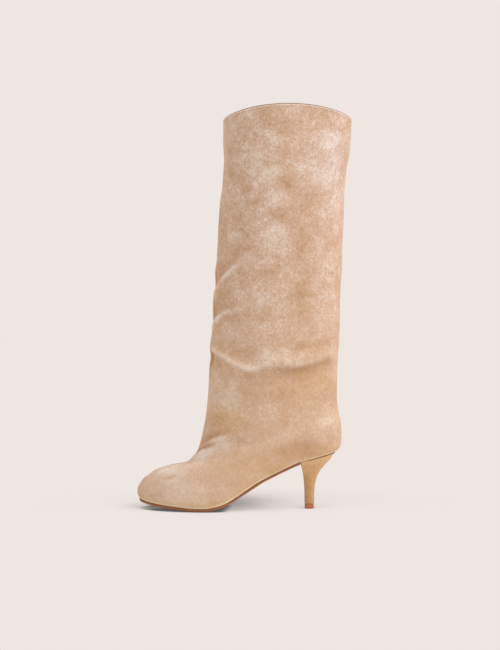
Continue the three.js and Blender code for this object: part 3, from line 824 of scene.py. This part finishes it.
def collar_stitches(outside, thread):
    """A row of fine stitches round the collar, under its folded edge."""
    row = len(outside) - 1 - collar_rows.index(collar_stitch_down)
    ring = np.concatenate([outside[row], outside[row][:1]])
    normals = ring_normals(outside)[row]
    normals = np.concatenate([normals, normals[:1]])
    lengths = np.concatenate([[0], np.cumsum(np.linalg.norm(np.diff(ring, axis=0), axis=1))])
    count = int(lengths[-1] / (stitch_length + stitch_gap))
    turns = 2 * np.pi * np.arange(stitch_sides)[:, None] / stitch_sides

    def along(rows, at):
        return np.array([np.interp(at, lengths, rows[:, axis]) for axis in range(3)])

    points, faces = [], []
    for stitch in range(count):
        start = lengths[-1] * stitch / count
        rings = []
        for share, thick in stitch_shape:
            at = start + share * stitch_length
            middle = along(ring, at)
            out = unit(along(normals, at))
            if share < 1:
                across = unit(np.cross(along(ring, at + direction_step) - middle, out))
            middle = middle + out * stitch_radius * (thick - stitch_sink)
            spokes = np.cos(turns) * out + np.sin(turns) * across
            rings.append(middle + stitch_radius * thick * spokes)
        stitch_points, stitch_faces = capped(rings)
        faces += [tuple(len(points) + i for i in face) for face in stitch_faces]
        points += list(stitch_points)
    piece = mesh_piece("collar_stitches", points, faces, [thread])
    point_values(piece, "nap_tone_and_painted_light", np.full(len(points), stitch_nap_tone))
    point_values(piece, "nap_contrast", np.ones(len(points)))
    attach(piece, "root")
    return piece


def srgb(red, green, blue):
    """A colour given in 0 to 255, as a shader's own values."""
    def linear(value):
        value /= 255
        return value / 12.92 if value <= 0.04045 else ((value + 0.055) / 1.055) ** 2.4
    return (linear(red), linear(green), linear(blue), 1)


usual_noise = (0.3, 0.7)  # where nearly all of a noise's values lie


class Nodes:
    """Adds nodes to a tree and joins them."""

    def __init__(self, tree):
        self.tree = tree

    def fill(self, node, inputs):
        """Joins each named input to a socket, or sets its plain value."""
        for name, value in inputs.items():
            if isinstance(value, bpy.types.NodeSocket):
                self.tree.links.new(value, node.inputs[name])
            else:
                node.inputs[name].default_value = value
        return node

    def add(self, kind, inputs=None, **settings):
        """A new node with its inputs and settings."""
        node = self.tree.nodes.new(kind)
        for name, value in settings.items():
            setattr(node, name, value)
        return self.fill(node, inputs or {})

    def place(self):
        """Where each point is in its piece, in metres."""
        return self.add("ShaderNodeTexCoord").outputs["Object"]

    def kept(self, name):
        """A number that point_values keeps for each point."""
        return self.add("ShaderNodeAttribute", attribute_name=name).outputs["Fac"]

    def split(self, vector):
        """A vector's X, Y and Z."""
        return self.add("ShaderNodeSeparateXYZ", {"Vector": vector}).outputs

    def math(self, operation, a, b=0.0):
        """One step of arithmetic on two values."""
        return self.add("ShaderNodeMath", {0: a, 1: b}, operation=operation).outputs[0]

    def noise(self, vector, scale, detail=2.0, roughness=0.5, distortion=0.0):
        """Soft noise from 0 to 1."""
        inputs = {"Vector": vector, "Scale": scale, "Detail": detail,
                  "Roughness": roughness, "Distortion": distortion}
        return self.add("ShaderNodeTexNoise", inputs).outputs["Fac"]

    def spread(self, value, low, high, to_low=0.0, to_high=1.0):
        """Carries the range from low to high over to another one."""
        inputs = {"Value": value, "From Min": low, "From Max": high,
                  "To Min": to_low, "To Max": to_high}
        return self.add("ShaderNodeMapRange", inputs).outputs["Result"]

    def ramp(self, value, stops):
        """A colour for each value, from pairs of a value and a colour."""
        node = self.add("ShaderNodeValToRGB", {"Fac": value})
        elements = node.color_ramp.elements
        first, *between, last = stops
        for element, (at, colour) in zip(elements, (first, last)):
            element.position = at
            element.color = colour
        for at, colour in between:
            elements.new(at).color = colour
        return node.outputs["Color"]

    def bump(self, height, strength, distance):
        """A normal that follows a height. distance: how deep the relief is, in metres."""
        inputs = {"Strength": strength, "Distance": distance, "Height": height}
        return self.add("ShaderNodeBump", inputs).outputs["Normal"]


def group_tree(name, inputs, outputs):
    """An empty node group with named sockets, each given as (name, kind, value)."""
    tree = bpy.data.node_groups.new(name, "ShaderNodeTree")
    for socket_name, kind, value in inputs:
        socket = tree.interface.new_socket(socket_name, in_out="INPUT", socket_type=kind)
        if value is not None:
            socket.default_value = value
    for socket_name, kind in outputs:
        tree.interface.new_socket(socket_name, in_out="OUTPUT", socket_type=kind)
    return tree, tree.nodes.new("NodeGroupInput"), tree.nodes.new("NodeGroupOutput")


NAP_LAYERS = [
    # the input that sets how strongly it shows, then scale, detail, roughness and distortion of
    # the noise, and how far it changes the tone and the height
    ("Clouds", 34, 3, 0.55, 0.5, 0.5, 0),
    ("Mottle", 120, 3, 0.6, 0.8, 0.5, 0),
    ("Grain", 340, 2, 0.6, 0, 0.35, 0.5),
    ("Grain", 800, 2, 0.65, 0, 0.5, 0.3),
    ("Grain", 2200, 2, 0.7, 0, 0.25, 0.3),
]


def nap_group():
    """Cloudy suede nap: a tone from 0, dark, to 1, light, and a height for the bump."""
    tree, given, made = group_tree("suede_nap", [
        ("Place", "NodeSocketVector", None),
        ("Clouds", "NodeSocketFloat", 1.0),
        ("Mottle", "NodeSocketFloat", 1.0),
        ("Grain", "NodeSocketFloat", 1.0),
    ], [("Tone", "NodeSocketFloat"), ("Height", "NodeSocketFloat")])
    n = Nodes(tree)
    tone, height = 0.5, 0.0
    for strength, scale, detail, roughness, distortion, change, rise in NAP_LAYERS:
        layer = n.noise(given.outputs["Place"], scale, detail, roughness, distortion)
        shown = n.spread(layer, *usual_noise, -change, change)
        tone = n.math("ADD", tone, n.math("MULTIPLY", shown, given.outputs[strength]))
        if rise:
            height = n.math("ADD", height, n.math("MULTIPLY", layer, rise))
    n.fill(made, {"Tone": tone, "Height": height})
    return tree


pores_in_cloud = 22  # how much finer the pores are than the clouds


def leather_group():
    """Smooth leather or rubber: a tone in soft clouds, and fine pores."""
    tree, given, made = group_tree("leather_grain", [
        ("Place", "NodeSocketVector", None),
        ("Scale", "NodeSocketFloat", 60.0),
    ], [("Tone", "NodeSocketFloat"), ("Pores", "NodeSocketFloat")])
    n = Nodes(tree)
    place, scale = given.outputs["Place"], given.outputs["Scale"]
    pore_scale = n.math("MULTIPLY", scale, pores_in_cloud)
    n.fill(made, {"Tone": n.noise(place, scale, detail=4, roughness=0.6),
                  "Pores": n.noise(place, pore_scale, detail=2)})
    return tree


def new_material(name):
    """A material with nodes, what adds to them, and its shader."""
    material = bpy.data.materials.new(name)
    material.use_nodes = True
    shader = material.node_tree.nodes["Principled BSDF"]
    return material, Nodes(material.node_tree), shader


back_seam_y = -3  # the seam up the back of the shaft, a little to the outer side
back_seam_half_width = 0.55
back_seam_dark = 0.35  # how much darker the nap in it is
back_seam_deep = 0.9


def back_seam(n, place):
    """1 in the groove of the back seam and 0 off it."""
    parts = n.split(place)
    off_line = n.math("ABSOLUTE", n.math("SUBTRACT", parts["Y"], back_seam_y * MM))
    groove = n.spread(off_line, back_seam_half_width * MM, 0, 0, 1)
    at_back = n.math("GREATER_THAN", parts["X"], -shaft_setback * MM)
    return n.math("MULTIPLY", groove, at_back)


warm_tint = (0.97, 0.92, 0.76, 1)  # what the colour is multiplied by at the greatest warmth, the nap's own or painted warm shade


def suede_material(name, nap, colours, clouds, mottle, grain, dressed=False):
    """Brushed suede. colours: dark, middle and light nap. dressed: with the upper's own mottle
    and warmth, which carry painted highlight and shade as well, and its back seam."""
    material, n, shader = new_material(name)
    place = n.place()
    inputs = {"Place": place, "Clouds": clouds, "Mottle": mottle, "Grain": grain}
    made = n.add("ShaderNodeGroup", inputs, node_tree=nap).outputs
    tone, height = made["Tone"], made["Height"]
    if dressed:
        tone = n.math("MULTIPLY", n.math("SUBTRACT", tone, 0.5), n.kept("nap_contrast"))
        tone = n.math("ADD", tone, 0.5)
    # The kept tone carries painted highlight and shade on the upper, beside the nap's own tone
    tone = n.math("ADD", tone, n.kept("nap_tone_and_painted_light"))
    if dressed:
        seam = back_seam(n, place)
        tone = n.math("SUBTRACT", tone, n.math("MULTIPLY", seam, back_seam_dark))
        height = n.math("SUBTRACT", height, n.math("MULTIPLY", seam, back_seam_deep))
    colour = n.ramp(tone, list(zip((0, 0.5, 1), colours)))
    if dressed:
        # The kept warmth also carries painted warm shade and a painted pale sheen
        inputs = {0: n.kept("nap_warmth_and_painted_light"), 6: colour, 7: warm_tint}
        colour = n.add("ShaderNodeMix", inputs, data_type="RGBA", blend_type="MULTIPLY",
                       clamp_factor=False).outputs[2]
    n.fill(shader, {
        "Base Color": colour,
        "Roughness": n.spread(tone, 0, 1, 0.98, 0.86),
        "Normal": n.bump(height, strength=0.4, distance=0.0006),
        "Specular IOR Level": 0.2,
        "Sheen Weight": 0.14,
        "Sheen Roughness": 0.45,
        "Sheen Tint": (1, 0.93, 0.85, 1),
    })
    return material


leather_roughness_change = 0.06  # how much the pores change the roughness, up and down


def leather_material(name, skin, colours, scale, roughness, depth, gloss=0.4):
    """Smooth leather or rubber in two close tones. scale: of its clouds. depth: of its pores."""
    material, n, shader = new_material(name)
    inputs = {"Place": n.place(), "Scale": scale}
    made = n.add("ShaderNodeGroup", inputs, node_tree=skin).outputs
    change = leather_roughness_change
    n.fill(shader, {
        "Base Color": n.ramp(made["Tone"], list(zip(usual_noise, colours))),
        "Roughness": n.spread(made["Pores"], *usual_noise, roughness - change, roughness + change),
        "Normal": n.bump(made["Pores"], strength=0.3, distance=depth),
        "Specular IOR Level": gloss,
    })
    return material


def floor_plan(from_x, to_x):
    """The sole's outline between two places along X, as one ring from the front middle along
    the outer side to the back middle and home; a cut end is straight across."""
    low = angle_of((from_x - toe_x) / foot_length)
    high = angle_of((to_x - toe_x) / foot_length)
    angles = np.linspace(low, high, plan_points_a_side)
    sides = []
    for side in (1, -1):
        x = mix(toe_x, heel_back_x, share_at(angles))
        y = middle_y(x) - side * sole_half(angles, side)
        sides.append(np.stack([x, y, 0 * x], axis=-1))
    outer, inner = sides[0], sides[1][::-1]
    ends = []
    for corner, facing in ((outer[-1], inner[0]), (inner[-1], outer[0])):
        if np.linalg.norm(corner - facing) < 1:
            ends.append(np.zeros((0, 3)))
        else:
            shares = np.linspace(0, 1, cut_end_points)[1:-1, None]
            ends.append(mix(corner, facing, shares))
    ring = np.concatenate([outer, ends[0], inner, ends[1]])
    keep = np.linalg.norm(ring - np.roll(ring, 1, axis=0), axis=1) > 1e-6
    return ring[keep]


def on_edge_line(ring, over):
    """A ring laid along the sole's edge line, at a height over it."""
    z = edge_z(ring[:, 0]) + over
    return np.stack([ring[:, 0], ring[:, 1], z], axis=-1)


def capped(rings):
    """Points and faces of stacked rings, closed at both ends with one face each."""
    length = len(rings[0])
    faces = ring_faces(len(rings), length)
    faces.append(tuple(range(length))[::-1])
    top = (len(rings) - 1) * length
    faces.append(tuple(range(top, top + length)))
    return np.concatenate(rings), faces


def dressed_outsole(leather, burnish):
    """The outsole, with a burnished top edge."""
    plan = floor_plan(toe_x, breast_x - fit_gap)
    profile = [
        # inset, height over the edge line, 1 where it is burnished above
        (1.3, -2.5, 0),
        (0.8, -2.4, 0),
        (0.45, -2.0, 0),
        (0.3, -1.4, 0),
        (0.28, -0.8, 0),
        (0.35, -0.4, 1),
        (0.55, -0.12, 1),
        (0.9, 0.0, 1),
    ]
    rings = [on_edge_line(drawn_in(plan, inset), over) for inset, over, _ in profile]
    points, faces = capped(rings)
    kinds = np.concatenate([np.repeat([dark for *_, dark in profile[:-1]], len(plan)), [0, 1]])
    piece = mesh_piece("leather_outsole", points, faces, [leather, burnish], kinds)
    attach(piece, "root")
    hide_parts("outsole")
    return piece


def dressed_insole(lining):
    """The sock on the insole, inside the upper."""
    plan = drawn_in(floor_plan(toe_x, heel_back_x), upper_wall + fit_gap)
    profile = [(0.3, 0.3), (0.0, 0.8), (0.0, 2.2), (0.3, 2.6), (0.9, 2.8)]  # inset, height
    rings = [on_edge_line(drawn_in(plan, inset), over) for inset, over in profile]
    points, faces = capped(rings)
    piece = mesh_piece("lining_sock", points, faces, [lining])
    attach(piece, "root")
    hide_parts("insole")
    return piece


tip_shape = smooth(tip_outline["along"], tip_outline["half"])


def heel_ring(seat, section):
    """The seat's ring, carried down to a section of the heel."""
    drop, breast, back, width = section
    tip_z = top_piece_thickness + fit_gap
    along = (seat[:, 0] - breast_x) / (heel_back_x - breast_x)
    front_x = mix(breast_x, -heel_tip_length / 2, breast)
    back_x = mix(heel_back_x, heel_tip_length / 2, back)
    x = mix(front_x, back_x, along)
    at_breast = along < 1e-4
    tip_y = tip_shape(along) * heel_tip_width / 2
    side = np.sign(seat[:, 1])
    breast_half = np.abs(seat[at_breast, 1]).max()
    share_across = np.where(at_breast, np.abs(seat[:, 1]) / breast_half, 1)
    y = mix(seat[:, 1], side * tip_y * share_across, width)
    z = mix(seat[:, 2], tip_z, drop)
    return np.stack([x, y, z], axis=-1)


heel_seat_round = 0.9  # radius of the cover where it turns in over the heel's top
heel_breast_round = 0.2  # how much of that is left at the heel's breast
heel_rows = np.concatenate([  # shares of the way down
    [0, 0.002, 0.005, 0.009, 0.014],
    np.linspace(0.025, 0.5, 30),
    np.linspace(0.5, 1, 16)[1:],
])
heel_seam_rows = 3  # rows of faces in the dark seam under the upper
heel_seam_start = 8  # how far behind the heel's breast the seam's dark line begins
heel_nap_top = 0.16  # how much lighter the nap is under the seat
heel_nap_fall = 0.45  # how much darker it gets from there to the tip
heel_nap_fall_rate = 1.4  # over 1, so that it ends above the tip


def dressed_heel(suede, seam):
    """The heel, tucked in at its top so that a fine dark line shows under the upper."""
    seat = on_edge_line(floor_plan(breast_x, heel_back_x), 0)
    behind_breast = seat[:, 0] - breast_x
    tuck = mix(heel_breast_round, 1, smooth_rise(behind_breast / heel_seam_start / 2))
    breast, back, width = (smooth(heel_sections["drop"], heel_sections[name])
                           for name in ("breast", "back", "width"))
    rings = []
    for drop in heel_rows:
        under_seat = drop * (heel_height - top_piece_thickness)
        curl = np.clip(heel_seat_round - under_seat, 0, heel_seat_round)
        inset = heel_seat_round - math.sqrt(heel_seat_round**2 - curl**2)
        ring = heel_ring(seat, (drop, breast(drop), back(drop), width(drop)))
        rings.append(drawn_in(ring, inset * tuck))
    points, faces = capped(rings[::-1])
    kinds = np.zeros(len(faces), int)
    in_seam = (behind_breast > heel_seam_start).astype(int)
    kinds[(len(rings) - 1 - heel_seam_rows) * len(seat):-2] = np.tile(in_seam, heel_seam_rows)
    piece = mesh_piece("covered_heel", points, faces, [suede, seam], kinds)
    down = 1 - points[:, 2] / heel_height
    fall = heel_nap_fall * smooth_rise(down * heel_nap_fall_rate)
    point_values(piece, "nap_tone_and_painted_light", heel_nap_top - fall)
    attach(piece, "root")
    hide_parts("heel")
    return piece


def dressed_top_piece(rubber):
    """The tip under the heel, with its edges broken."""
    seat = on_edge_line(floor_plan(breast_x, heel_back_x), 0)
    tip = heel_ring(seat, (1, 1, 1, 1))
    profile = [  # inset, height
        (0.35, 0.0), (0.1, 0.25), (0.0, 0.6), (0.0, 4.5), (0.15, 4.9), (0.3, 5.0)]
    rings = []
    for inset, z in profile:
        ring = drawn_in(tip, inset)
        ring[:, 2] = z
        rings.append(ring)
    points, faces = capped(rings)
    piece = mesh_piece("rubber_top_piece", points, faces, [rubber])
    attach(piece, "root")
    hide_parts("top_piece")
    return piece


PAPER = srgb(239, 230, 225)
SHADOW = srgb(80, 78, 78)
floor_half_size = 40  # in metres, as all lengths from here on
shadow_samples = 16
shadow_lean = (0.15, -0.85, 0.5)  # towards the light, so that the shadow lies behind the boot
contact_shadow_end = (-0.06, -0.03)  # where it fades out, from the ball towards the heel
ball_shadow_middle = (-0.1, 0.075)  # the deeper shadow behind the ball of the foot
ball_shadow_reach = (0.054, 0.07)
ball_shadow_tone = 0.4


def floor_tone(n):
    """How light the floor is, from 0 to 1: a near, a far and a contact shadow, and the one
    behind the ball of the foot."""
    x, y, z = shadow_lean
    lean = n.add("ShaderNodeCombineXYZ", {"X": x, "Y": y, "Z": z}).outputs["Vector"]

    def shadow(reach, closed, clear, darkest, **direction):
        """Dark where the boot hides the room. closed, clear: how much of the room has to be
        open to count as none and as all of it."""
        inputs = {"Distance": reach, **direction}
        room = n.add("ShaderNodeAmbientOcclusion", inputs, samples=shadow_samples)
        return n.spread(room.outputs["AO"], closed, clear, darkest, 1.0)

    near = shadow(0.04, 0.3, 0.97, 0.55, Normal=lean)
    far = shadow(0.2, 0.4, 0.98, 0.84, Normal=lean)
    contact = shadow(0.009, 0.45, 0.98, 0.05)
    parts = n.split(n.place())
    contact = n.math("MAXIMUM", contact, n.spread(parts["X"], *contact_shadow_end))
    off = 0.0
    for axis, middle, reach in zip("XY", ball_shadow_middle, ball_shadow_reach):
        share = n.math("DIVIDE", n.math("SUBTRACT", parts[axis], middle), reach)
        off = n.math("ADD", n.math("POWER", share, 2), off)
    fall = n.math("EXPONENT", n.math("MULTIPLY", off, -1))
    ball = n.spread(fall, 0, 1, 1.0, ball_shadow_tone)
    return n.math("MULTIPLY", n.math("MULTIPLY", near, far), n.math("MULTIPLY", contact, ball))


def pale_floor():
    """A plain floor in the room's own tone, with a soft shadow where the boot meets it."""
    half = floor_half_size
    mesh = bpy.data.meshes.new("floor")
    corners = [(-half, -half, 0), (half, -half, 0), (half, half, 0), (-half, half, 0)]
    mesh.from_pydata(corners, [], [(0, 1, 2, 3)])
    material, n, shader = new_material("paper_floor")
    nodes = material.node_tree.nodes
    nodes.remove(shader)
    inputs = {"Factor": floor_tone(n), 6: SHADOW, 7: PAPER}
    shown = n.add("ShaderNodeMix", inputs, data_type="RGBA").outputs[2]
    glow = n.add("ShaderNodeEmission", {"Color": shown}).outputs["Emission"]
    n.fill(nodes["Material Output"], {"Surface": glow})
    mesh.materials.append(material)
    floor_piece = bpy.data.objects.new("floor", mesh)
    bpy.context.scene.collection.objects.link(floor_piece)


room_dim, room_bright = 0.62, 1.05  # the room's light from below and from above
room_low, room_high = -0.2, 1.0  # how far up the dim and the bright light lie, 1 overhead


def room_light():
    """A pale room, brighter from above, seen as plain paper by the camera."""
    world = bpy.data.worlds.new("room")
    bpy.context.scene.world = world
    world.use_nodes = True
    tree = world.node_tree
    n = Nodes(tree)
    paper = n.fill(tree.nodes["Background"], {"Color": PAPER})
    direction = n.add("ShaderNodeTexCoord").outputs["Generated"]
    strength = n.spread(n.split(direction)["Z"], room_low, room_high, room_dim, room_bright)
    soft = n.add("ShaderNodeBackground", {"Color": (1, 1, 1, 1), "Strength": strength})
    seen = n.add("ShaderNodeLightPath").outputs["Is Camera Ray"]
    backgrounds = {0: seen, 1: soft.outputs["Background"], 2: paper.outputs["Background"]}
    both = n.add("ShaderNodeMixShader", backgrounds).outputs["Shader"]
    n.fill(tree.nodes["World Output"], {"Surface": both})


def sun(name, direction, strength, spread_degrees):
    """A soft light from far away, from a direction."""
    lamp = bpy.data.lights.new(name, "SUN")
    lamp.energy = strength
    lamp.angle = math.radians(spread_degrees)
    lamp.color = (1, 0.99, 0.98)
    holder = bpy.data.objects.new(name, lamp)
    bpy.context.scene.collection.objects.link(holder)
    holder.rotation_mode = "QUATERNION"
    holder.rotation_quaternion = Vector(direction).to_track_quat("Z", "Y")


camera_place = (-0.0682, -1.8, 0.2107)
camera_lens = 86.7  # in mm, on a sensor 36 mm wide


def photo_camera():
    """Level, at the side, at the photo's height and distance."""
    camera = bpy.data.cameras.new("camera")
    camera.lens = camera_lens
    camera.sensor_width = 36
    camera.clip_end = 100
    holder = bpy.data.objects.new("camera", camera)
    bpy.context.scene.collection.objects.link(holder)
    holder.location = camera_place
    holder.rotation_euler = (math.pi / 2, 0, 0)
    bpy.context.scene.camera = holder


nap = nap_group()
upper_suede = suede_material(
    "upper_suede", nap, (srgb(184, 146, 110), srgb(206, 172, 146), srgb(229, 211, 194)),
    clouds=0.26, mottle=0.26, grain=0.38, dressed=True)
heel_suede = suede_material(
    "heel_suede", nap, (srgb(172, 130, 88), srgb(207, 165, 118), srgb(228, 192, 148)),
    clouds=0.15, mottle=0.2, grain=0.3)
skin = leather_group()
lining_leather = leather_material(
    "lining_leather", skin, (srgb(205, 176, 146), srgb(196, 164, 134)),
    scale=60, roughness=0.6, depth=0.0002)
collar_edge = leather_material(
    "collar_edge", skin, (srgb(146, 100, 76), srgb(130, 88, 66)),
    scale=60, roughness=0.7, depth=0.0002, gloss=0.15)
sole_leather = leather_material(
    "sole_leather", skin, (srgb(160, 106, 66), srgb(144, 92, 56)),
    scale=90, roughness=0.45, depth=0.0001)
sole_burnish = leather_material(
    "sole_burnish", skin, (srgb(150, 92, 54), srgb(132, 78, 44)),
    scale=90, roughness=0.7, depth=0.0001, gloss=0.1)
tip_rubber = leather_material(
    "tip_rubber", skin, (srgb(180, 113, 68), srgb(160, 96, 54)),
    scale=120, roughness=0.5, depth=0.0001)

dressed_upper(upper_suede, lining_leather, collar_edge)
dressed_outsole(sole_leather, sole_burnish)
dressed_insole(lining_leather)
dressed_heel(heel_suede, sole_burnish)
dressed_top_piece(tip_rubber)

pale_floor()
room_light()
sun("window", direction=(0.75, -0.4, 0.55), strength=1.4, spread_degrees=30)
photo_camera()
bpy.context.scene.view_settings.view_transform = "Standard"
